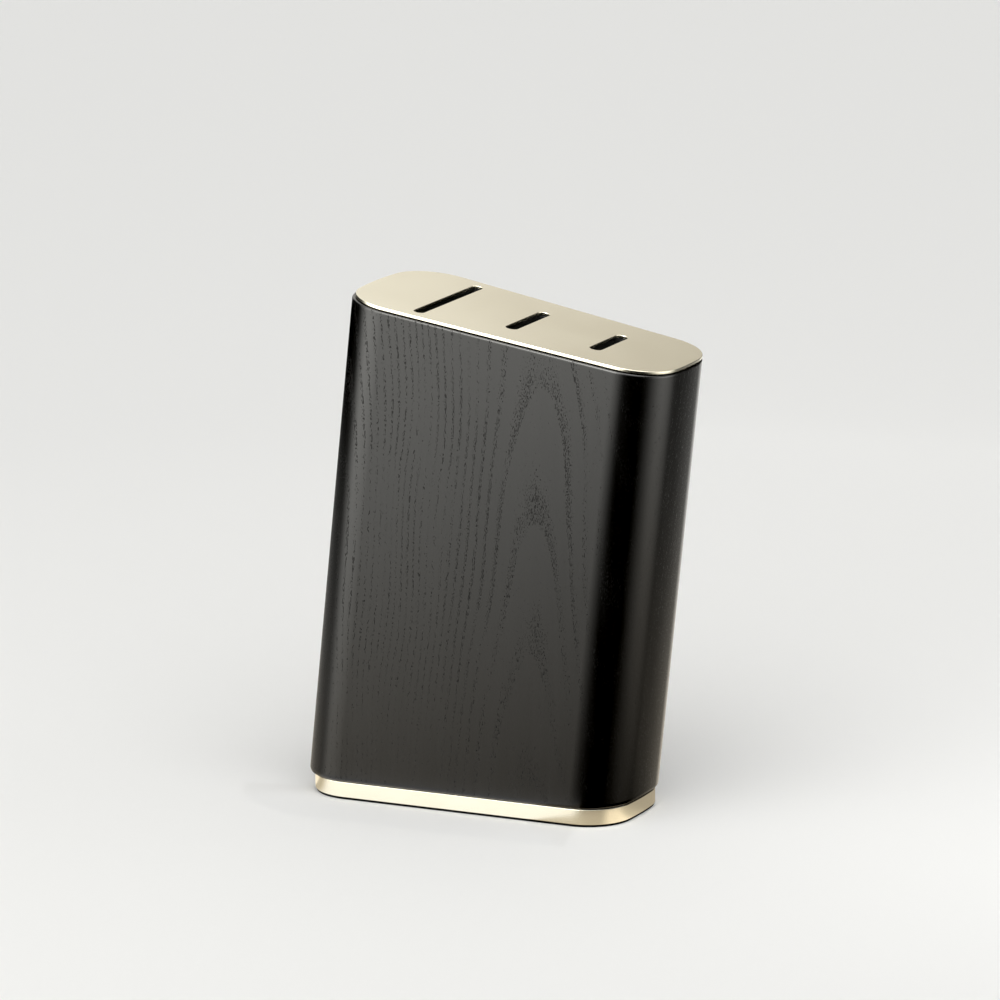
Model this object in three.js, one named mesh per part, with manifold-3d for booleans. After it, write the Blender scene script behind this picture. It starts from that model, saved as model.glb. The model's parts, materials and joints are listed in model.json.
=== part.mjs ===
// Knife block: a hollow, leaning ash body on a metal plinth, with a lift-off slotted lid.
// Millimetres, +Z up. The origin is the middle of the underside. The block leans towards +X,
// its wide end is at -X, and its front is at -Y.
import * as THREE from 'three';
import { mergeVertices } from 'three/addons/utils/BufferGeometryUtils.js';
import Module from 'manifold-3d';

const wasm = await Module();
wasm.setup();

// Body
const LENGTH = 164.9; // along X
const WIDTH_LEFT = 84; // where the sides' lines meet the wide end
const WIDTH_RIGHT = 67.3; // where they meet the narrow end
const CORNER = 24; // radius of the four upright corners
const END_BOW = 200; // radius of the two slightly bowed ends
const WALL = 5;
const LEAN = THREE.MathUtils.degToRad(5.9); // of the body's sides, from upright
const TOP_TILT = THREE.MathUtils.degToRad(8.8); // of the lid, falling towards +X
const PLATE_HEIGHT = 228.4; // underside of the top plate, at its middle
const RIM_EASE = 1.4; // chamfer round the body's mouth
const FOOT_EASE = 2.2; // chamfer round the body's foot

// Lid
const PLATE_THICKNESS = 1.35;
const PLATE_INSET = 0.9; // from the body's faces
const PLATE_SHIFT = 0.7; // towards +X
const SHADOW_GAP = 0.5; // between the body's rim and the plate
const SLOTS = [
  { x: -42.7, length: 65, width: 5.2 },
  { x: -1.0, length: 39, width: 5.9 },
  { x: 41.1, length: 33, width: 6.0 },
];
const HEAD_DEPTH = 20;
const HEAD_CLEARANCE = 0.5; // round the head, in the body's mouth
const THROAT_EXTRA = 1.6; // how much wider than its slot a throat in the head is
const STUDS = [[-21.5, -22], [-21.5, 22], [20, -20], [20, 20]];
const STUD_RADIUS = 1.5;
const NUT_RADIUS = 3.1; // across its corners, halved
const NUT_HEIGHT = 2.4;
const MAGNETS = [[-63, -15], [-63, 15], [63, -12], [63, 12]];
const MAGNET_RADIUS = 5;
const MAGNET_HEIGHT = 3;

// Inside the body
const LEDGE_HEIGHT = 14;
const LEDGE_REACH = 52; // each ledge fills the body's end beyond this distance from its middle
const STRIKER_HEIGHT = 1.5;
const COMB_HEIGHT = 105; // underside of the lower comb
const COMB_THICKNESS = 12;
const COMB_EXTRA = 4; // how much wider than its slot a comb throat is
const FLOOR_THICKNESS = 10;
const TIP_PAD_THICKNESS = 4;
const TIP_PAD_INSET = 3;

// Base
const PAD_THICKNESS = 1.1;
const PAD_INSET = 0.6; // from the plinth's faces
const PLINTH_FOOT = 1.2;
const PLINTH_TOP = 8.5;
const PLINTH_INSET = 1.2; // from the body's faces
const PLINTH_SHIFT = 0.7; // towards +X
const PLINTH_SKIN = 2;
const BODY_FOOT = 8.8;
const BALLAST_THICKNESS = 2.7;
const SCREWS = [[-52, -20], [-52, 20], [52, -16], [52, 16]];
const SCREW_RADIUS = 1.8;
const SCREW_HEAD_RADIUS = 3.8;
const SCREW_HEAD_HEIGHT = 1.3;
const SCREW_LENGTH = 13;

// Gaps and fineness
const GAP = 0.3; // between two pieces that touch
const CORNER_STEPS = 11; // facets on each upright corner
const END_STEPS = 4; // facets on each bowed end
const ARC_STEPS = 16; // facets on a circle, and on each round end of a slot
const SCREW_STEPS = 24; // facets round a screw

const TAPER = Math.atan((WIDTH_LEFT - WIDTH_RIGHT) / 2 / LENGTH);
const axis = new THREE.Vector3(Math.sin(LEAN), 0, Math.cos(LEAN)); // along the body's sides
const normal = new THREE.Vector3(Math.sin(TOP_TILT), 0, Math.cos(TOP_TILT)); // of the lid
const topCentre = new THREE.Vector3(
  (PLATE_HEIGHT - BODY_FOOT) * Math.tan(LEAN), 0, PLATE_HEIGHT);

// Shapes are drawn in plan, as if at the body's foot, and these three frames carry them into
// place. Z is the height in fromFoot, and the height from the plate's underside in the others.
const acrossTop = new THREE.Vector3(1, 0, 0)
  .addScaledVector(axis, -normal.x / axis.dot(normal));
const alongY = new THREE.Vector3(0, 1, 0);
const fromFoot = new THREE.Matrix4()
  .makeBasis(new THREE.Vector3(1, 0, 0), alongY, new THREE.Vector3(Math.tan(LEAN), 0, 1))
  .setPosition(-BODY_FOOT * Math.tan(LEAN), 0, 0);
const underPlate = new THREE.Matrix4()
  .makeBasis(acrossTop, alongY, axis.clone().divideScalar(axis.dot(normal)))
  .setPosition(topCentre);
const squareToPlate = new THREE.Matrix4()
  .makeBasis(acrossTop, alongY, normal)
  .setPosition(topCentre);
const upright = new THREE.Matrix4();

// Plan shapes

// Where the corner arcs at one end are centred, and how far round from the X axis they begin.
// side is -1 at the wide end and 1 at the narrow one.
function cornerAt(side) {
  const bowCentre = side * (LENGTH / 2 - END_BOW);
  const halfWidth = (WIDTH_LEFT + WIDTH_RIGHT) / 4 - bowCentre * Math.tan(TAPER);
  const reach = END_BOW - CORNER;
  const turn = Math.asin((halfWidth * Math.cos(TAPER) - CORNER) / reach) - side * TAPER;
  return { bowCentre, turn, x: bowCentre + side * reach * Math.cos(turn), y: reach * Math.sin(turn) };
}

function arcPoints(x, y, radius, start, end, steps) {
  return Array.from({ length: steps + 1 }, (_, i) => {
    const turn = start + (end - start) * i / steps;
    return new THREE.Vector2(x + radius * Math.cos(turn), y + radius * Math.sin(turn));
  });
}

// The rounded, tapering plan, anticlockwise. Its ends are drawn without the points where they
// meet their corners, which are the corners' own.
function outlinePoints(inset, shift = 0) {
  const left = cornerAt(-1);
  const right = cornerAt(1);
  const corner = (at, side, start, end) =>
    arcPoints(at.x + shift, side * at.y, CORNER - inset, start, end, CORNER_STEPS);
  const bow = (at, start, end) =>
    arcPoints(at.bowCentre + shift, 0, END_BOW - inset, start, end, END_STEPS).slice(1, -1);
  return [
    ...corner(left, -1, Math.PI + left.turn, Math.PI * 1.5 + TAPER),
    ...corner(right, -1, -Math.PI / 2 + TAPER, -right.turn),
    ...bow(right, -right.turn, right.turn),
    ...corner(right, 1, right.turn, Math.PI / 2 - TAPER),
    ...corner(left, 1, Math.PI / 2 - TAPER, Math.PI - left.turn),
    ...bow(left, Math.PI - left.turn, Math.PI + left.turn),
  ];
}

function outline(inset, shift = 0) {
  return new THREE.Shape(outlinePoints(inset, shift));
}

function slotHole(slot, extraWidth, extraLength) {
  const radius = (slot.width + extraWidth) / 2;
  const reach = (slot.length + extraLength) / 2 - radius;
  const hole = new THREE.Path();
  hole.absarc(slot.x, reach, radius, 0, Math.PI, false);
  hole.absarc(slot.x, -reach, radius, Math.PI, 2 * Math.PI, false);
  hole.closePath();
  return hole;
}

function disc(x, y, radius) {
  const circle = new THREE.Shape();
  circle.absarc(x, y, radius, 0, 2 * Math.PI, false);
  return circle;
}

// Solids

function prism(shape, frame, low, high) {
  const geometry = new THREE.ExtrudeGeometry(shape, {
    depth: high - low,
    bevelEnabled: false,
    curveSegments: ARC_STEPS / 2, // three.js makes twice as many on an arc
  });
  geometry.translate(0, 0, low);
  geometry.applyMatrix4(frame);
  return geometry;
}

function roundPrism(x, y, radius, frame, low, high) {
  return prism(disc(x, y, radius), frame, low, high);
}

// A ring of points round an outline. The body's mouth is cut along the plate, its foot level.
function ring(inset, frame, z) {
  return outlinePoints(inset).map((p) => new THREE.Vector3(p.x, p.y, z).applyMatrix4(frame));
}

// A skin over a list of rings, from the last back to the first, so it closes on itself.
function closedLoft(rings) {
  const count = rings[0].length;
  const index = [];
  rings.forEach((_, r) => {
    const next = (r + 1) % rings.length;
    for (let i = 0; i < count; i += 1) {
      const j = (i + 1) % count;
      index.push(r * count + i, r * count + j, next * count + j);
      index.push(r * count + i, next * count + j, next * count + i);
    }
  });
  const geometry = new THREE.BufferGeometry().setFromPoints(rings.flat());
  geometry.setIndex(index);
  geometry.computeVertexNormals();
  return geometry;
}

// Cuts and joins

function toSolid(geometry) {
  const bare = geometry.clone();
  bare.deleteAttribute('normal');
  bare.deleteAttribute('uv');
  const merged = mergeVertices(bare, 1e-4);
  return new wasm.Manifold(new wasm.Mesh({
    numProp: 3,
    vertProperties: merged.attributes.position.array,
    triVerts: Uint32Array.from(merged.index.array),
  }));
}

function toGeometry(solid) {
  const mesh = solid.getMesh();
  const geometry = new THREE.BufferGeometry();
  geometry.setAttribute('position', new THREE.BufferAttribute(mesh.vertProperties, 3));
  geometry.setIndex(new THREE.BufferAttribute(mesh.triVerts, 1));
  geometry.computeVertexNormals();
  return geometry;
}

function cut(geometry, tools) {
  return toGeometry(tools.reduce((solid, tool) => solid.subtract(toSolid(tool)), toSolid(geometry)));
}

// Materials

const finishes = {
  ash: { color: 0x3f403d, roughness: 0.55, metalness: 0 },
  champagne: { color: 0xcdc1a6, roughness: 0.32, metalness: 1 },
  blackPlastic: { color: 0x141414, roughness: 0.5, metalness: 0 },
  plywood: { color: 0xb08a5c, roughness: 0.75, metalness: 0 },
  steel: { color: 0x9c9d9f, roughness: 0.4, metalness: 1 },
  rubber: { color: 0x0f110f, roughness: 0.9, metalness: 0 },
};

const block = new THREE.Group();
const lid = new THREE.Group();

function add(group, name, geometry, finish) {
  const mesh = new THREE.Mesh(geometry, new THREE.MeshStandardMaterial(finishes[finish]));
  mesh.name = name;
  group.add(mesh);
}

// Body

function addWoodShell() {
  const rim = -SHADOW_GAP;
  add(block, 'wood_shell', closedLoft([
    ring(FOOT_EASE, fromFoot, BODY_FOOT),
    ring(0, fromFoot, BODY_FOOT + FOOT_EASE),
    ring(0, underPlate, rim - RIM_EASE),
    ring(RIM_EASE, underPlate, rim),
    ring(WALL, underPlate, rim),
    ring(WALL, fromFoot, BODY_FOOT),
  ]), 'ash');
}

// The two ledges that the lid's head sits on, with a steel disc under each of its magnets.
function addLedges() {
  const top = -HEAD_DEPTH - GAP;
  const whole = prism(outline(WALL + GAP), underPlate, top - LEDGE_HEIGHT, top);
  const middle = new THREE.BoxGeometry(2 * LEDGE_REACH, WIDTH_LEFT, 2 * LEDGE_HEIGHT)
    .translate(0, 0, top - LEDGE_HEIGHT / 2)
    .applyMatrix4(underPlate);
  const pockets = MAGNETS.map(([x, y]) => roundPrism(
    x, y, MAGNET_RADIUS + GAP, underPlate, top - STRIKER_HEIGHT - GAP, top + 1));
  const [left, right] = toSolid(cut(whole, [middle, ...pockets]))
    .decompose()
    .sort((a, b) => a.boundingBox().min[0] - b.boundingBox().min[0]);
  add(block, 'ledge_left', toGeometry(left), 'blackPlastic');
  add(block, 'ledge_right', toGeometry(right), 'blackPlastic');
  MAGNETS.forEach(([x, y], i) => {
    const disk = roundPrism(x, y, MAGNET_RADIUS, underPlate, top - STRIKER_HEIGHT, top);
    add(block, `striker_${i + 1}`, disk, 'steel');
  });
}

// The plate inside the body that keeps the blades apart.
function addLowerComb() {
  const shape = outline(WALL + GAP);
  shape.holes = SLOTS.map((slot) => slotHole(slot, COMB_EXTRA, 0));
  const geometry = prism(shape, fromFoot, COMB_HEIGHT, COMB_HEIGHT + COMB_THICKNESS);
  add(block, 'lower_comb', geometry, 'blackPlastic');
}

// The board that closes the body's foot, and the pad on it that the tips stop at.
function addFloor() {
  const top = BODY_FOOT + FLOOR_THICKNESS;
  const board = prism(outline(WALL + GAP), fromFoot, BODY_FOOT, top);
  const pilots = SCREWS.map(([x, y]) => roundPrism(
    x, y, SCREW_RADIUS + GAP, upright, BODY_FOOT - 1, top + 1));
  add(block, 'floor_board', cut(board, pilots), 'plywood');
  const pad = prism(outline(WALL + TIP_PAD_INSET), fromFoot, top + GAP, top + GAP + TIP_PAD_THICKNESS);
  add(block, 'tip_pad', pad, 'rubber');
}

// Base

function screwHoles(shape, extra) {
  shape.holes = SCREWS.map(([x, y]) => disc(x, y, SCREW_RADIUS + extra));
  return shape;
}

function addBase() {
  const ceiling = PLINTH_TOP - PLINTH_SKIN;
  const tray = prism(screwHoles(outline(PLINTH_INSET, PLINTH_SHIFT), GAP), upright, PLINTH_FOOT, PLINTH_TOP);
  const pocket = prism(
    outline(PLINTH_INSET + PLINTH_SKIN, PLINTH_SHIFT), upright, PLINTH_FOOT - 1, ceiling);
  add(block, 'base_plinth', cut(tray, [pocket]), 'champagne');

  const ballastShape = screwHoles(outline(PLINTH_INSET + PLINTH_SKIN + GAP, PLINTH_SHIFT), 2 * GAP);
  const ballastFoot = ceiling - GAP - BALLAST_THICKNESS;
  add(block, 'ballast_plate', prism(ballastShape, upright, ballastFoot, ceiling - GAP), 'steel');

  SCREWS.forEach(([x, y], i) => {
    add(block, `base_screw_${i + 1}`, screw(x, y, ballastFoot - GAP), 'steel');
  });

  const pad = prism(outline(PLINTH_INSET + PAD_INSET, PLINTH_SHIFT), upright, 0, PAD_THICKNESS);
  add(block, 'foot_pad', pad, 'rubber');
}

// A low-headed screw that points up from z, where its head's upper face is.
function screw(x, y, z) {
  const profile = [
    [0, -SCREW_HEAD_HEIGHT],
    [SCREW_HEAD_RADIUS * 0.8, -SCREW_HEAD_HEIGHT],
    [SCREW_HEAD_RADIUS, -SCREW_HEAD_HEIGHT * 0.5],
    [SCREW_HEAD_RADIUS, 0],
    [SCREW_RADIUS, 0],
    [SCREW_RADIUS, SCREW_LENGTH - 2 * SCREW_RADIUS],
    [0, SCREW_LENGTH],
  ].map(([radius, height]) => new THREE.Vector2(radius, height));
  const geometry = new THREE.LatheGeometry(profile, SCREW_STEPS);
  geometry.rotateX(Math.PI / 2);
  geometry.translate(x, y, z);
  return geometry;
}

// Lid

function addTopPlate() {
  const shape = outline(PLATE_INSET, PLATE_SHIFT);
  shape.holes = SLOTS.map((slot) => slotHole(slot, 0, 0));
  add(lid, 'top_plate', prism(shape, squareToPlate, 0, PLATE_THICKNESS), 'champagne');
}

// The block under the plate that drops into the body's mouth and guides the blades.
function addGuideHead() {
  const shape = outline(WALL + HEAD_CLEARANCE);
  shape.holes = [
    ...SLOTS.map((slot) => slotHole(slot, THROAT_EXTRA, 0.4)),
    ...STUDS.map(([x, y]) => disc(x, y, STUD_RADIUS + GAP)),
  ];
  const head = prism(shape, underPlate, -HEAD_DEPTH, -GAP);
  const pockets = MAGNETS.map(([x, y]) => roundPrism(
    x, y, MAGNET_RADIUS + GAP, underPlate, -HEAD_DEPTH - 1, -HEAD_DEPTH + MAGNET_HEIGHT + GAP));
  add(lid, 'guide_head', cut(head, pockets), 'blackPlastic');
}

function addLidFixings() {
  STUDS.forEach(([x, y], i) => {
    const foot = -HEAD_DEPTH - GAP - NUT_HEIGHT;
    const stud = roundPrism(x, y, STUD_RADIUS, underPlate, foot - 1, -GAP);
    add(lid, `plate_stud_${i + 1}`, stud, 'steel');
    add(lid, `stud_nut_${i + 1}`, nut(x, y, foot), 'steel');
  });
  MAGNETS.forEach(([x, y], i) => {
    const low = -HEAD_DEPTH;
    const magnet = roundPrism(x, y, MAGNET_RADIUS, underPlate, low, low + MAGNET_HEIGHT);
    add(lid, `lid_magnet_${i + 1}`, magnet, 'steel');
  });
}

function nut(x, y, low) {
  const sides = 6;
  const shape = new THREE.Shape();
  for (let i = 0; i < sides; i += 1) {
    const turn = 2 * Math.PI * i / sides;
    const px = x + NUT_RADIUS * Math.cos(turn);
    const py = y + NUT_RADIUS * Math.sin(turn);
    if (i === 0) shape.moveTo(px, py);
    else shape.lineTo(px, py);
  }
  shape.closePath();
  shape.holes = [disc(x, y, STUD_RADIUS + GAP)];
  return prism(shape, underPlate, low, low + NUT_HEIGHT);
}

addWoodShell();
addLedges();
addLowerComb();
addFloor();
addBase();
addTopPlate();
addGuideHead();
addLidFixings();

const knifeBlock = new THREE.Group();
knifeBlock.add(block, lid);

export default knifeBlock;
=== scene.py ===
import json
import math

import bpy
import bmesh
from mathutils import Matrix, Vector


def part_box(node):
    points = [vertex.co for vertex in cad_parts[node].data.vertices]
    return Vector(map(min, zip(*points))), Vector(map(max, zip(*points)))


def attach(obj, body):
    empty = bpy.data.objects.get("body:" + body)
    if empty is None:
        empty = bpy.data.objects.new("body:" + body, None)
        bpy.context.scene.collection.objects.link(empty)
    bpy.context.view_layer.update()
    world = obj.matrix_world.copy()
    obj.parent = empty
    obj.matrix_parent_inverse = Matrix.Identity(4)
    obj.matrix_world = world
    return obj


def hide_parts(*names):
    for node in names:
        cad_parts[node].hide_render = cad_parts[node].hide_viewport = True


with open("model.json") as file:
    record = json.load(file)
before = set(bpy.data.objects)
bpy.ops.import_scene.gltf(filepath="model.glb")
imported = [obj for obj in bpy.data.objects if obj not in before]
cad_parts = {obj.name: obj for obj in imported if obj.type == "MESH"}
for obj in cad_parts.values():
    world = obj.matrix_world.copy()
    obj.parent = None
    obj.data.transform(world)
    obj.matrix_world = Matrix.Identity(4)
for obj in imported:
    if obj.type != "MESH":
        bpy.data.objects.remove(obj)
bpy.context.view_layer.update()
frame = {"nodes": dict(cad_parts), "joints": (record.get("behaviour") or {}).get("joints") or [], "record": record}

# The block's driving dimensions, in metres. Outlines are drawn in plan, at the body's foot.
LENGTH = 0.1649
WIDTH_LEFT = 0.084
WIDTH_RIGHT = 0.0673
CORNER = 0.024
END_BOW = 0.2
WALL = 0.005
TOP_TILT = math.radians(8.8)
PLATE_HEIGHT = 0.2284
BODY_FOOT = 0.0088
PLATE_THICKNESS = 0.00135
PLATE_INSET = 0.0009
PLATE_SHIFT = 0.0007
SHADOW_GAP = 0.0005
SLOTS = [(-0.0427, 0.065, 0.0052), (-0.0010, 0.039, 0.0059), (0.0411, 0.033, 0.0060)]
PLINTH_INSET = 0.0020  # 0.8 mm more than in the CAD, as the photo shows it
PLINTH_SHIFT = 0.0007
PLINTH_POCKET = 0.0032  # the tray's opening underneath, in from the body's faces as in the CAD
PLINTH_SKIN = 0.002
PAD_INSET = 0.0006

BODY_INSET = 0.00005  # keeps the finer arcs drawn here inside the CAD's coarser ones
RIM_ROUND = 0.0010
FOOT_ROUND = 0.0023
INNER_ROUND = 0.0006
PLATE_ROUND = 0.00022
PLINTH_ROUND = 0.0003

# The tree's pith in plan, how much its growth rings narrow with height, and a ring's thickness.
PITH = (0.040, 0.028)
PITH_SLOPE = 0.033
RING_STEP = 0.0023

MERGE_DISTANCE = 1e-6
BLACK_LEVEL = 0.004  # the light below which the picture is black

TAPER = math.atan((WIDTH_LEFT - WIDTH_RIGHT) / 2 / LENGTH)
AXIS = Vector(frame["joints"][0]["axis"]).normalized()
LEAN = math.atan2(AXIS.x, AXIS.z)
NORMAL = Vector((math.sin(TOP_TILT), 0, math.cos(TOP_TILT)))
TOP_CENTRE = Vector(((PLATE_HEIGHT - BODY_FOOT) * math.tan(LEAN), 0, PLATE_HEIGHT))


def frame_matrix(x_axis, z_axis, origin):
    """Columns x, y and z, then the origin. Y stays the shared frame's own."""
    return Matrix((
        (x_axis[0], 0, z_axis[0], origin[0]),
        (x_axis[1], 1, z_axis[1], origin[1]),
        (x_axis[2], 0, z_axis[2], origin[2]),
        (0, 0, 0, 1),
    ))


ACROSS_TOP = Vector((1, 0, 0)) - AXIS * (NORMAL.x / AXIS.dot(NORMAL))
FROM_FOOT = frame_matrix((1, 0, 0), (math.tan(LEAN), 0, 1), (-BODY_FOOT * math.tan(LEAN), 0, 0))
UNDER_PLATE = frame_matrix(ACROSS_TOP, AXIS / AXIS.dot(NORMAL), TOP_CENTRE)
SQUARE_TO_PLATE = frame_matrix(ACROSS_TOP, NORMAL, TOP_CENTRE)
UPRIGHT = Matrix.Identity(4)


# ---------------------------------------------------------------- plan shapes

def arc(cx, cy, radius, start, end, steps):
    return [(cx + radius * math.cos(start + (end - start) * i / steps),
             cy + radius * math.sin(start + (end - start) * i / steps)) for i in range(steps + 1)]


def corner_at(side):
    """One end's bow centre, its corners' centre and how far round from the X axis they begin.
    side is -1 at the wide end and 1 at the narrow one."""
    bow_centre = side * (LENGTH / 2 - END_BOW)
    half_width = (WIDTH_LEFT + WIDTH_RIGHT) / 4 - bow_centre * math.tan(TAPER)
    reach = END_BOW - CORNER
    turn = math.asin((half_width * math.cos(TAPER) - CORNER) / reach) - side * TAPER
    return bow_centre, bow_centre + side * reach * math.cos(turn), reach * math.sin(turn), turn


def outline(inset, shift=0.0, steps=32, bow_steps=12):
    """The block's rounded, tapering plan, anticlockwise from its wide end's front corner."""
    radius = CORNER - inset
    bow = END_BOW - inset
    left_bow, left_x, left_y, left = corner_at(-1)
    right_bow, right_x, right_y, right = corner_at(1)
    half = math.pi / 2
    return (arc(left_x + shift, -left_y, radius, left - 2 * half, TAPER - half, steps)
            + arc(right_x + shift, -right_y, radius, TAPER - half, -right, steps)
            + arc(right_bow + shift, 0, bow, -right, right, bow_steps)[1:-1]
            + arc(right_x + shift, right_y, radius, right, half - TAPER, steps)
            + arc(left_x + shift, left_y, radius, half - TAPER, 2 * half - left, steps)
            + arc(left_bow + shift, 0, bow, 2 * half - left, 2 * half + left, bow_steps)[1:-1])


def slot_outline(x, length, width, steps=16):
    radius = width / 2
    reach = length / 2 - radius
    return arc(x, reach, radius, 0, math.pi, steps) + arc(x, -reach, radius, math.pi, 2 * math.pi, steps)


# ---------------------------------------------------------------- mesh tools

def new_object(name, mesh):
    made = bpy.data.objects.new(name, mesh)
    bpy.context.scene.collection.objects.link(made)
    return made


def shade_smooth(mesh, sharp_angle):
    """Smooth faces, with sharp edges past an angle."""
    for face in mesh.polygons:
        face.use_smooth = True
    mesh.set_sharp_from_angle(angle=math.radians(sharp_angle))


def finish_mesh(obj):
    """Even shading, with normals weighted by face area."""
    shade_smooth(obj.data, 40)
    weighted = obj.modifiers.new("even_normals", "WEIGHTED_NORMAL")
    weighted.keep_sharp = True
    return obj


def ring(inset, matrix, z, shift=0.0):
    """The outline's points at a height, in the frame that matrix gives."""
    return [matrix @ Vector((x, y, z)) for x, y in outline(inset, shift)]


def loft(name, rings, closed=False):
    """A skin over rings of points, which closes on itself or is capped at both ends."""
    bm = bmesh.new()
    rows = [[bm.verts.new(p) for p in points] for points in rings]
    count = len(rows[0])
    for r in range(len(rows) if closed else len(rows) - 1):
        low, high = rows[r], rows[(r + 1) % len(rows)]
        for i in range(count):
            j = (i + 1) % count
            bm.faces.new((low[i], low[j], high[j], high[i]))
    if not closed:
        bm.faces.new(list(reversed(rows[0])))
        bm.faces.new(rows[-1])
    bmesh.ops.recalc_face_normals(bm, faces=bm.faces)
    mesh = bpy.data.meshes.new(name)
    bm.to_mesh(mesh)
    bm.free()
    return finish_mesh(new_object(name, mesh))


def rounding(radius, steps=6):
    """How far a rounded edge is set in, and how far it is below its end, step by step."""
    turns = [math.pi / 2 * i / steps for i in range(steps + 1)]
    return [(radius * (1 - math.cos(t)), radius * (1 - math.sin(t))) for t in turns]


def plate(name, outer, holes, matrix, low, high, edge):
    """A flat plate with holes, its edges rounded, made as a filled curve and turned into a mesh."""
    curve = bpy.data.curves.new(name, "CURVE")
    curve.dimensions = "2D"
    curve.fill_mode = "BOTH"
    for points in [outer] + holes:
        spline = curve.splines.new("POLY")
        spline.points.add(len(points) - 1)
        for point, (x, y) in zip(spline.points, points):
            point.co = (x, y, 0, 1)
        spline.use_cyclic_u = True
    curve.extrude = (high - low) / 2 - edge
    curve.bevel_depth = edge
    curve.bevel_resolution = 3
    curve.offset = -edge
    source = new_object(name + "_curve", curve)
    mesh = bpy.data.meshes.new_from_object(source.evaluated_get(bpy.context.evaluated_depsgraph_get()))
    bpy.data.objects.remove(source)
    bpy.data.curves.remove(curve)
    bm = bmesh.new()
    bm.from_mesh(mesh)
    bmesh.ops.remove_doubles(bm, verts=bm.verts, dist=MERGE_DISTANCE)
    bmesh.ops.translate(bm, verts=bm.verts, vec=(0, 0, (low + high) / 2))
    bmesh.ops.transform(bm, verts=bm.verts, matrix=matrix)
    bmesh.ops.recalc_face_normals(bm, faces=bm.faces)
    bm.to_mesh(mesh)
    bm.free()
    mesh.name = name
    return finish_mesh(new_object(name, mesh))


# ---------------------------------------------------------------- node tools

class Nodes:
    """Short ways to add and join shader nodes in one tree."""

    def __init__(self, tree):
        self.tree = tree
        tree.nodes.clear()

    def add(self, kind, inputs=None, **settings):
        node = self.tree.nodes.new(kind)
        for key, value in settings.items():
            setattr(node, key, value)
        for key, value in (inputs or {}).items():
            self.put(node.inputs[key], value)
        return node

    def put(self, socket, value):
        if isinstance(value, bpy.types.NodeSocket):
            self.tree.links.new(value, socket)
        else:
            socket.default_value = value

    def math(self, operation, a, b=0.0, c=0.0):
        return self.add("ShaderNodeMath", {0: a, 1: b, 2: c}, operation=operation).outputs[0]

    def place(self):
        """Where a point is on its object, in metres."""
        return self.add("ShaderNodeTexCoord").outputs["Object"]

    def split(self, vector):
        """A vector's three parts."""
        return self.add("ShaderNodeSeparateXYZ", {0: vector}).outputs

    def smooth(self, value, low, high, to_low=0.0, to_high=1.0):
        """Eases from to_low to to_high as the value goes from low to high."""
        node = self.add("ShaderNodeMapRange", {"Value": value, "From Min": low, "From Max": high,
                                               "To Min": to_low, "To Max": to_high},
                        interpolation_type="SMOOTHSTEP")
        return node.outputs[0]

    def combine(self, x, y, z):
        return self.add("ShaderNodeCombineXYZ", {0: x, 1: y, 2: z}).outputs[0]

    def scaled(self, vector, scale):
        node = self.add("ShaderNodeVectorMath", {0: vector, 1: scale}, operation="MULTIPLY")
        return node.outputs[0]

    def noise(self, vector, scale, detail=2.0, roughness=0.5):
        """Noise with its own scale along each axis, from 0 to 1."""
        node = self.add("ShaderNodeTexNoise", {"Vector": self.scaled(vector, scale), "Scale": 1.0,
                                               "Detail": detail, "Roughness": roughness})
        return node.outputs["Fac"]

    def mix(self, factor, a, b):
        node = self.add("ShaderNodeMix", {"Factor": factor}, data_type="RGBA")
        self.put(node.inputs[6], a)
        self.put(node.inputs[7], b)
        return node.outputs[2]

    def bump(self, height, distance):
        inputs = {"Height": height, "Distance": distance, "Strength": 1.0}
        return self.add("ShaderNodeBump", inputs).outputs[0]

    def surface(self, inputs):
        shader = self.add("ShaderNodeBsdfPrincipled", inputs)
        self.add("ShaderNodeOutputMaterial", {"Surface": shader.outputs[0]})


def new_material(name):
    material = bpy.data.materials.new(name)
    material.use_nodes = True
    return material, Nodes(material.node_tree)


def rgb(red, green, blue):
    return (red, green, blue, 1.0)


def shaded(colour, by):
    """A colour made darker or lighter."""
    return rgb(*(by * part for part in colour))


# ---------------------------------------------------------------- materials

def pore_crowding(n, place, grain_x, pith_x):
    """How full of pores the wood is, from 0 to 1: full in the early wood of each ring, which comes
    first, and emptier in patches, over the pith, at the narrow end and near the foot."""
    x, y, z = n.split(place)
    pith_y = n.math("SUBTRACT", y, PITH[1])
    squares = n.math("ADD", n.math("MULTIPLY", pith_x, pith_x), n.math("MULTIPLY", pith_y, pith_y))
    radius = n.math("ADD", n.math("SQRT", squares), n.math("MULTIPLY", z, PITH_SLOPE))
    turn = n.math("FRACT", n.math("DIVIDE", radius, RING_STEP))
    crowd = n.math("MULTIPLY", n.smooth(turn, 0.0, 0.07), n.smooth(turn, 0.58, 0.18))
    patch = n.noise(place, (60, 60, 16), 2.0)
    crowd = n.math("MULTIPLY", crowd, n.smooth(patch, 0.30, 0.60, 0.45, 1.0))
    crowd = n.math("MULTIPLY", crowd, n.smooth(x, 0.085, 0.06, 0.40, 1.0))
    crowd = n.math("MULTIPLY", crowd, n.smooth(n.math("ABSOLUTE", pith_x), 0.0, 0.035, 0.90, 1.0))
    return n.math("MULTIPLY", crowd, n.smooth(z, 0.02, 0.14, 0.62, 1.0))


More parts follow.
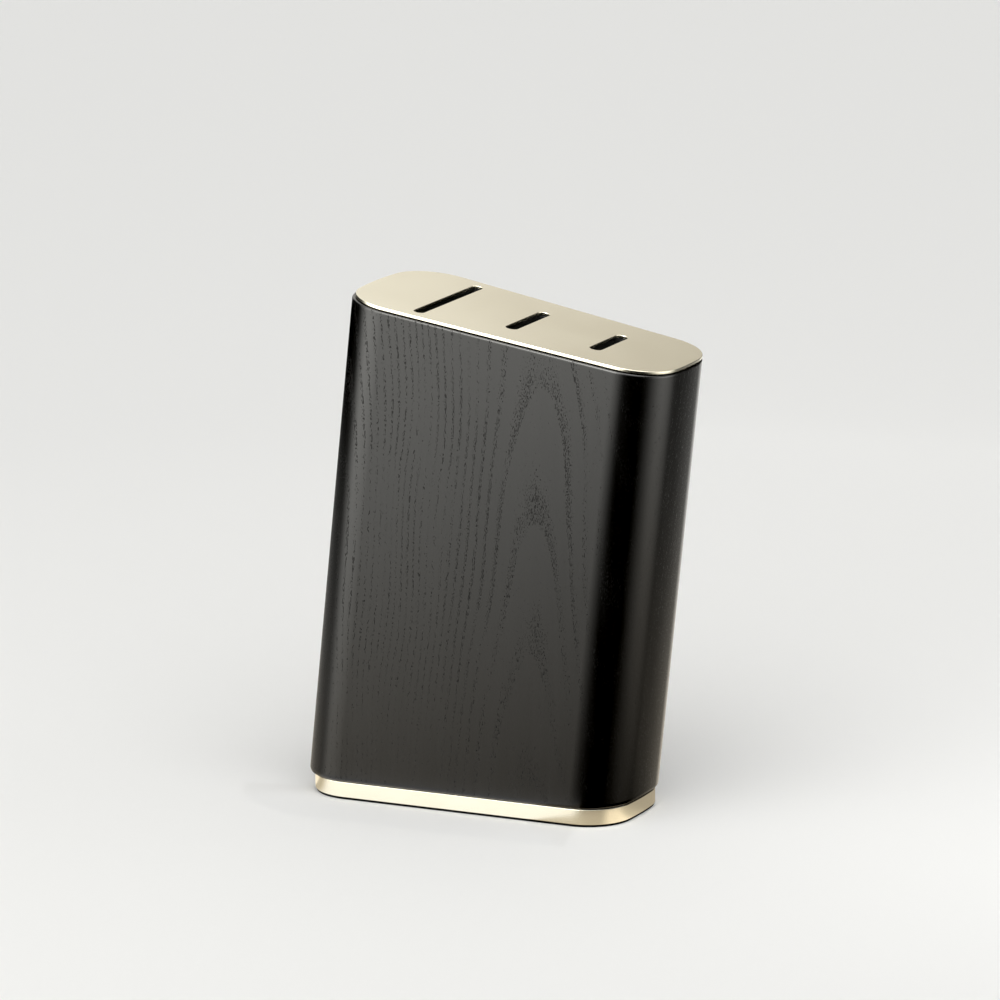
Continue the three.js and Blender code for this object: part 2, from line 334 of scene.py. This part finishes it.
def ash_material():
    """Black-stained, open-grained ash: growth rings round a pith near the block's back, with long
    pores crowded into the early wood of each ring, under a satin finish that leaves them open."""
    material, n = new_material("black_ash")
    place = n.place()
    x, y, z = n.split(place)

    sway = n.math("SUBTRACT", n.noise(place, (14, 14, 7), 1.0), 0.5)
    waver = n.math("SUBTRACT", n.noise(place, (110, 110, 26), 2.0), 0.5)
    drift = n.math("ADD", n.math("MULTIPLY", sway, 0.026), n.math("MULTIPLY", waver, 0.0013))
    grain_x = n.math("ADD", x, drift)
    crowd = pore_crowding(n, place, grain_x, n.math("SUBTRACT", grain_x, PITH[0]))

    grain = n.combine(grain_x, y, z)
    vessel = n.noise(grain, (2900, 2900, 860), 1.0, 0.4)
    # The noise makes a pore where it passes this edge, which is lower where pores crowd.
    bare_edge = 0.720
    crowded_edge = 0.485
    edge = n.math("MULTIPLY_ADD", crowd, crowded_edge - bare_edge, bare_edge)
    pore = n.smooth(n.math("SUBTRACT", vessel, edge), 0.0, 0.07)
    fibre = n.noise(grain, (3400, 3400, 120), 3.0, 0.6)
    cloud = n.noise(place, (230, 230, 12), 2.0)

    stain = n.mix(n.smooth(cloud, 0.3, 0.7), rgb(0.0018, 0.0017, 0.0015), rgb(0.0030, 0.0028, 0.0025))
    rough = n.math("MULTIPLY_ADD", fibre, 0.06, 0.17)
    rough = n.math("MULTIPLY_ADD", cloud, 0.05, rough)
    unlit = n.math("MULTIPLY", pore, 0.6)  # an open pore gives no gloss, as black metal gives none
    height = n.math("MULTIPLY_ADD", pore, -1.0, n.math("MULTIPLY", fibre, 0.10))
    n.surface({"Base Color": n.mix(pore, stain, rgb(0.0006, 0.0005, 0.0004)),
               "Roughness": n.math("MULTIPLY_ADD", pore, 0.25, rough),
               "Metallic": unlit,
               "Normal": n.bump(height, 0.00001)})
    return material


def champagne_material(name, stretch):
    """Champagne-toned metal with a fine satin brush. stretch is the brush noise's scale on each
    axis, lowest along the brush marks."""
    material, n = new_material(name)
    place = n.place()
    brush = n.noise(place, stretch, 4.0, 0.65)
    broad = n.noise(place, (22, 22, 22), 2.0)
    tint = n.mix(n.smooth(broad, 0.3, 0.7), rgb(0.80, 0.755, 0.615), rgb(0.83, 0.790, 0.65))
    rough = n.math("MULTIPLY_ADD", brush, 0.05, 0.19)
    rough = n.math("MULTIPLY_ADD", broad, 0.05, rough)
    n.surface({"Base Color": tint, "Metallic": 1.0, "Roughness": rough,
               "Normal": n.bump(brush, 0.000001)})
    return material


def moulded_material(name, colour, roughness, grit, gloss=0.5):
    """Moulded plastic or rubber with a fine spark-eroded texture."""
    material, n = new_material(name)
    speck = n.noise(n.place(), (grit, grit, grit), 3.0, 0.6)
    tone = n.mix(speck, shaded(colour, 0.75), shaded(colour, 1.2))
    rough = n.math("MULTIPLY_ADD", speck, 0.16, roughness - 0.08)
    n.surface({"Base Color": tone, "Roughness": rough, "Specular IOR Level": gloss,
               "Normal": n.bump(speck, 0.00004)})
    return material


def steel_material(name, colour, roughness):
    """Plated or rolled steel with fine scratches."""
    material, n = new_material(name)
    place = n.place()
    scratch = n.noise(place, (900, 2600, 900), 4.0, 0.7)
    stain = n.noise(place, (60, 60, 60), 3.0)
    tone = n.mix(stain, shaded(colour, 0.85), rgb(*colour))
    rough = n.math("MULTIPLY_ADD", scratch, 0.2, roughness - 0.1)
    n.surface({"Base Color": tone, "Metallic": 1.0, "Roughness": rough,
               "Normal": n.bump(scratch, 0.00001)})
    return material


def plywood_material():
    """Birch plywood: thin plies stacked in Z, with grain along X."""
    material, n = new_material("plywood")
    place = n.place()
    two_plies = 0.0028
    ply = n.math("FRACT", n.math("DIVIDE", n.split(place)[2], two_plies))
    grain = n.noise(place, (40, 900, 900), 4.0, 0.6)
    light = n.mix(grain, rgb(0.42, 0.27, 0.13), rgb(0.60, 0.43, 0.24))
    dark = n.mix(grain, rgb(0.30, 0.18, 0.08), rgb(0.44, 0.29, 0.14))
    colour = n.mix(n.smooth(ply, 0.45, 0.55), light, dark)
    n.surface({"Base Color": colour, "Roughness": n.math("MULTIPLY_ADD", grain, 0.2, 0.6),
               "Normal": n.bump(grain, 0.00005)})
    return material


MATERIALS = {
    "black_ash": ash_material(),
    "champagne_metal": champagne_material("champagne_plate", (60, 2600, 2600)),
    "black_plastic": moulded_material("black_plastic", (0.012, 0.012, 0.012), 0.5, 2200),
    "plywood": plywood_material(),
    "steel": steel_material("steel", (0.56, 0.56, 0.57), 0.35),
    "magnet": steel_material("nickel", (0.70, 0.68, 0.64), 0.22),
    "rubber": moulded_material("rubber", (0.004, 0.004, 0.004), 0.9, 1500, 0.1),
}
PLINTH_METAL = champagne_material("champagne_plinth", (2600, 2600, 60))


# ---------------------------------------------------------------- pieces

def place_piece(piece, node, body, slot, material=None):
    """A piece that stands for a CAD node, moves with its body and takes its slot's finish."""
    piece.data.materials.clear()
    piece.data.materials.append(material or MATERIALS[slot])
    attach(piece, body)
    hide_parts(node)


def make_body():
    """The wooden body: a tube with rounded rims, open at its mouth and closed below by the
    floor board, which is a CAD node."""
    rim = -SHADOW_GAP
    straight = 0.0004  # of flat wall kept next to each rounding, so that it shades flat
    outside_foot = [ring(BODY_INSET + i, FROM_FOOT, BODY_FOOT + z)
                    for i, z in reversed(rounding(FOOT_ROUND))]
    outside_rim = [ring(BODY_INSET + i, UNDER_PLATE, rim - z) for i, z in rounding(RIM_ROUND)]
    inside_rim = [ring(WALL - i, UNDER_PLATE, rim - z) for i, z in reversed(rounding(INNER_ROUND))]
    rings = (
        outside_foot
        + [ring(BODY_INSET, FROM_FOOT, BODY_FOOT + FOOT_ROUND + straight)]
        + [ring(BODY_INSET, UNDER_PLATE, rim - RIM_ROUND - straight)]
        + outside_rim
        + inside_rim
        + [ring(WALL, FROM_FOOT, BODY_FOOT)]
    )
    place_piece(loft("wood_body", rings, closed=True), "wood_shell", "block", "black_ash")


def make_plate():
    """The slotted top plate."""
    holes = [slot_outline(*slot) for slot in SLOTS]
    made = plate("slotted_plate", outline(PLATE_INSET, PLATE_SHIFT), holes, SQUARE_TO_PLATE,
                 0, PLATE_THICKNESS, PLATE_ROUND)
    place_piece(made, "top_plate", "lid", "champagne_metal")


def make_plinth():
    """The plinth's tray, from the top skin down its outside and up into the pocket."""
    low, high = (corner.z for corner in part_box("base_plinth"))

    def level(inset, z):
        return ring(inset, UPRIGHT, z, PLINTH_SHIFT)

    rings = [level(PLINTH_INSET + i, high - z) for i, z in reversed(rounding(PLINTH_ROUND, 4))]
    rings += [level(PLINTH_INSET + i, low + z) for i, z in rounding(PLINTH_ROUND, 4)]
    rings += [level(PLINTH_POCKET, low), level(PLINTH_POCKET, high - PLINTH_SKIN)]
    place_piece(loft("plinth_tray", rings), "base_plinth", "block", "champagne_metal", PLINTH_METAL)


def make_pad():
    """The rubber pad under the plinth."""
    low, high = (corner.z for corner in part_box("foot_pad"))
    edge = 0.0003

    def level(inset, z):
        return ring(PLINTH_INSET + PAD_INSET + inset, UPRIGHT, z, PLINTH_SHIFT)

    rings = [level(i, low + z) for i, z in reversed(rounding(edge, 3))]
    rings += [level(i, high - z) for i, z in rounding(edge, 3)]
    place_piece(loft("rubber_pad", rings), "foot_pad", "block", "rubber")


def dress_cad_nodes():
    """The CAD nodes that stay get their slot's material and fine rounded edges, which take no
    more than a small share of the node's least dimension."""
    widest = 0.0004
    share = 0.12
    sharp_angle = 35
    slots = {s["node"]: s["material_slot"] for s in frame["record"]["subparts"]}
    for name, node in frame["nodes"].items():
        if node.hide_render:
            continue
        node.data.materials.clear()
        node.data.materials.append(MATERIALS[slots[name]])
        low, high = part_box(name)
        bevel = node.modifiers.new("fine_edges", "BEVEL")
        bevel.width = min(widest, share * min(high - low))
        bevel.segments = 2
        bevel.limit_method = "ANGLE"
        bevel.angle_limit = math.radians(sharp_angle)
        shade_smooth(node.data, sharp_angle)


make_body()
make_plate()
make_plinth()
make_pad()
dress_cad_nodes()


# ---------------------------------------------------------------- stage, light and camera

def make_floor():
    """A large, pale, level floor. Shiny surfaces see the cards and the floor glow instead of it."""
    reach = 12
    bm = bmesh.new()
    quarters = ((-1, -1), (1, -1), (1, 1), (-1, 1))
    corners = [bm.verts.new((x * reach, y * reach, 0)) for x, y in quarters]
    bm.faces.new(corners)
    mesh = bpy.data.meshes.new("floor")
    bm.to_mesh(mesh)
    bm.free()
    floor = new_object("floor", mesh)
    material, n = new_material("floor")
    n.surface({"Base Color": rgb(0.86, 0.86, 0.845), "Roughness": 0.9})
    mesh.materials.append(material)
    floor.visible_glossy = False


def make_world():
    """Even white light on the floor and backdrop. Shiny surfaces see a dark studio instead,
    whose ceiling glows."""
    world = bpy.data.worlds.new("studio")
    bpy.context.scene.world = world
    world.use_nodes = True
    n = Nodes(world.node_tree)
    glossy = n.add("ShaderNodeLightPath").outputs["Is Glossy Ray"]
    white = n.add("ShaderNodeBackground", {"Color": rgb(1.0, 1.0, 0.99), "Strength": 0.35})
    direction = n.split(n.add("ShaderNodeTexCoord").outputs["Generated"])
    ceiling = n.smooth(direction[2], 0.45, 0.95, to_high=3.0)
    room = n.add("ShaderNodeBackground", {"Color": rgb(1.0, 0.98, 0.95), "Strength": ceiling})
    both = n.add("ShaderNodeMixShader", {0: glossy, 1: white.outputs[0], 2: room.outputs[0]})
    n.add("ShaderNodeOutputWorld", {"Surface": both.outputs[0]})


def make_sun():
    """Soft light from above and in front, so that the block's shadow falls behind it."""
    data = bpy.data.lights.new("soft_sun", "SUN")
    data.energy = 2.0
    data.angle = math.radians(75)
    data.specular_factor = 0.0
    sun = new_object("soft_sun", data)
    sun.rotation_euler = (math.radians(38), 0, math.radians(24))


def make_front_light():
    """A softbox over the foreground, which lifts the floor in front of the block a little."""
    data = bpy.data.lights.new("front_softbox", "AREA")
    data.size = 1.2
    data.energy = 1.6
    data.specular_factor = 0.0
    lamp = new_object("front_softbox", data)
    lamp.location = (0.1, -1.2, 1.6)
    lamp.rotation_euler = (math.radians(25), 0, 0)


def make_side_light():
    """A small softbox behind the block's narrow end, which fills the shadow beside its foot."""
    data = bpy.data.lights.new("side_softbox", "AREA")
    data.size = 0.25
    data.energy = 0.22
    data.specular_factor = 0.0
    lamp = new_object("side_softbox", data)
    lamp.location = (0.40, 0.10, 0.30)
    towards_foot = Vector((0.08, 0, 0)) - lamp.location
    lamp.rotation_euler = towards_foot.to_track_quat("-Z", "Y").to_euler()


def as_glow(obj, n, colour, strength, clear=False):
    """Makes an object a light that only shiny surfaces see, where the camera sees them directly.
    The light of clear ones adds up."""
    direct = n.math("LESS_THAN", n.add("ShaderNodeLightPath").outputs["Diffuse Depth"], 0.5)
    strength = n.math("MULTIPLY", strength, direct)
    light = n.add("ShaderNodeEmission", {"Color": colour, "Strength": strength})
    if clear:
        behind = n.add("ShaderNodeBsdfTransparent")
        light = n.add("ShaderNodeAddShader", {0: light.outputs[0], 1: behind.outputs[0]})
    n.add("ShaderNodeOutputMaterial", {"Surface": light.outputs[0]})
    obj.visible_camera = False
    obj.visible_diffuse = False
    obj.visible_shadow = False


def make_card(name, distance, sides, fades, foot, head, glow, power=1.0, warm_side=False):
    """A glowing card, bent round the block at a distance from it. sides are its two azimuths, from
    -Y towards +X, and fades how many degrees its light takes to rise inside each of them. The
    light grows from nothing at its foot to glow at its head, by a power of the height, and is
    warmer near the floor, or along its first side."""
    steps = 48
    bm = bmesh.new()
    layer = bm.loops.layers.uv.new("card")
    columns = []
    for i in range(steps + 1):
        a = math.radians(sides[0] + (sides[1] - sides[0]) * i / steps)
        across = Vector((math.sin(a), -math.cos(a), 0)) * distance
        columns.append([bm.verts.new(across + Vector((0, 0, z))) for z in (foot, head)])
    for i in range(steps):
        here, there = columns[i], columns[i + 1]
        face = bm.faces.new((here[0], there[0], there[1], here[1]))
        for loop, (u, v) in zip(face.loops, ((i, 0), (i + 1, 0), (i + 1, 1), (i, 1))):
            loop[layer].uv = (u / steps, v)
    mesh = bpy.data.meshes.new(name)
    bm.to_mesh(mesh)
    bm.free()
    card = new_object(name, mesh)
    material, n = new_material(name)
    mesh.materials.append(material)
    uv = n.split(n.add("ShaderNodeTexCoord").outputs["UV"])
    spread = sides[1] - sides[0]
    rise = n.smooth(uv[0], 0.0, fades[0] / spread)
    fall = n.smooth(uv[0], 1.0, 1.0 - fades[1] / spread)
    lift = n.math("MULTIPLY", n.math("POWER", uv[1], power), glow)
    strength = n.math("MULTIPLY", lift, n.math("MULTIPLY", rise, fall))
    cool = rise if warm_side else n.smooth(n.split(n.place())[2], -0.26, -0.02)
    as_glow(card, n, n.mix(cool, rgb(1.0, 0.90, 0.74), rgb(1.0, 0.99, 0.94)), strength, clear=True)
    return card


def floor_glow_material():
    """Bright in front of the block and beside its narrow end's corner, and warm elsewhere."""
    material, n = new_material("floor_glow")
    x, y, _ = n.split(n.place())
    azimuth = n.math("ARCTAN2", x, n.math("MULTIPLY", y, -1.0))

    def between(start, full, fall, end):
        rise = n.smooth(azimuth, math.radians(start), math.radians(full))
        return n.math("MULTIPLY", rise, n.smooth(azimuth, math.radians(end), math.radians(fall)))

    front = between(-70, -60, 46.5, 49.5)
    corner = between(67, 74, 80, 88)
    base = n.smooth(azimuth, math.radians(100), math.radians(84), 0.32, 0.60)
    strength = n.math("MULTIPLY_ADD", n.math("MAXIMUM", front, corner), 0.60, base)
    return material, n, n.mix(front, rgb(1.0, 0.88, 0.70), rgb(1.0, 0.99, 0.97)), strength


def link_light(light, piece, state):
    """state is INCLUDE where the light is for this one piece, and EXCLUDE where it passes it by."""
    receivers = bpy.data.collections.new(light.name)
    receivers.objects.link(bpy.data.objects[piece])
    receivers.collection_objects[0].light_linking.link_state = state
    light.light_linking.receiver_collection = receivers


def make_floor_glow(name, start, end, only_plinth=False):
    """The strip of floor next to the block between two azimuths, as shiny surfaces see it, or as
    the plinth alone sees it."""
    tuck = 0.003
    reach = 0.032
    height = 0.0004
    bm = bmesh.new()
    inner, outer = (ring(inset, UPRIGHT, height) for inset in (tuck, -reach))
    for i in range(len(inner)):
        j = (i + 1) % len(inner)
        azimuth = math.degrees(math.atan2(outer[i].x, -outer[i].y))
        if start <= azimuth % 360 < end:
            bm.faces.new([bm.verts.new(p) for p in (inner[i], outer[i], outer[j], inner[j])])
    bmesh.ops.remove_doubles(bm, verts=bm.verts, dist=MERGE_DISTANCE)
    mesh = bpy.data.meshes.new(name)
    bm.to_mesh(mesh)
    bm.free()
    strip = new_object(name, mesh)
    material, n, colour, strength = floor_glow_material()
    mesh.materials.append(material)
    as_glow(strip, n, colour, strength, clear=only_plinth)
    if only_plinth:
        link_light(strip, "plinth_tray", "INCLUDE")


def make_camera():
    """A long lens, looking at the block from its front right and a little above."""
    azimuth = math.radians(26.22)
    elevation = math.radians(13.44)
    distance = 3.2319
    aside, above = 0.00677, 0.13845  # where the view's centre passes the origin
    back = Vector((math.sin(azimuth) * math.cos(elevation), -math.cos(azimuth) * math.cos(elevation),
                   math.sin(elevation)))
    right = Vector((math.cos(azimuth), math.sin(azimuth), 0))
    up = back.cross(right)
    data = bpy.data.cameras.new("camera")
    data.sensor_width = 36
    data.lens = 246.77
    data.clip_end = 100
    camera = new_object("camera", data)
    turn = Matrix((right, up, back)).transposed().to_4x4()
    camera.matrix_world = Matrix.Translation(back * distance + right * aside + up * above) @ turn
    bpy.context.scene.camera = camera


make_floor()
make_world()
make_sun()
make_front_light()
make_side_light()
make_card("card_front", 0.75, sides=(-82, 17), fades=(29, 53), foot=-0.335, head=0.45, glow=6.8)
make_card("card_corner", 0.76, sides=(-20, 16), fades=(14, 12), foot=-0.05, head=1.0, glow=12.0)
make_card("card_top", 0.77, sides=(-75, 12), fades=(20, 15), foot=0.35, head=1.20, glow=9.0, power=0.5)
card_right = make_card("card_right", 0.78, sides=(60, 146), fades=(42, 50), foot=-0.42, head=0.30,
                       glow=7.0, power=2.0)
card_back = make_card("card_back", 0.79, sides=(150, 215), fades=(24, 20), foot=-0.45, head=0.15,
                      glow=1.35, power=0.3)
make_card("card_plate", 0.80, sides=(158, 245), fades=(74, 10), foot=0.20, head=0.95, glow=1.45,
          power=0.2, warm_side=True)
make_card("bounce_left", 0.81, sides=(-160, -70), fades=(15, 12), foot=0.06, head=-0.30, glow=0.85)
make_card("bounce_right", 0.82, sides=(90, 200), fades=(30, 15), foot=0.06, head=-0.30, glow=0.20)
link_light(card_right, "plinth_tray", "EXCLUDE")
link_light(card_back, "plinth_tray", "EXCLUDE")
make_floor_glow("floor_glow_sides", 47, 285, only_plinth=True)
make_floor_glow("floor_glow_front", 285, 360)
make_floor_glow("floor_glow_front_right", 0, 47)

make_camera()

view = bpy.context.scene.view_settings
view.view_transform = "Standard"
view.look = "None"
view.use_curve_mapping = True
view.curve_mapping.black_level = (BLACK_LEVEL, BLACK_LEVEL, BLACK_LEVEL)
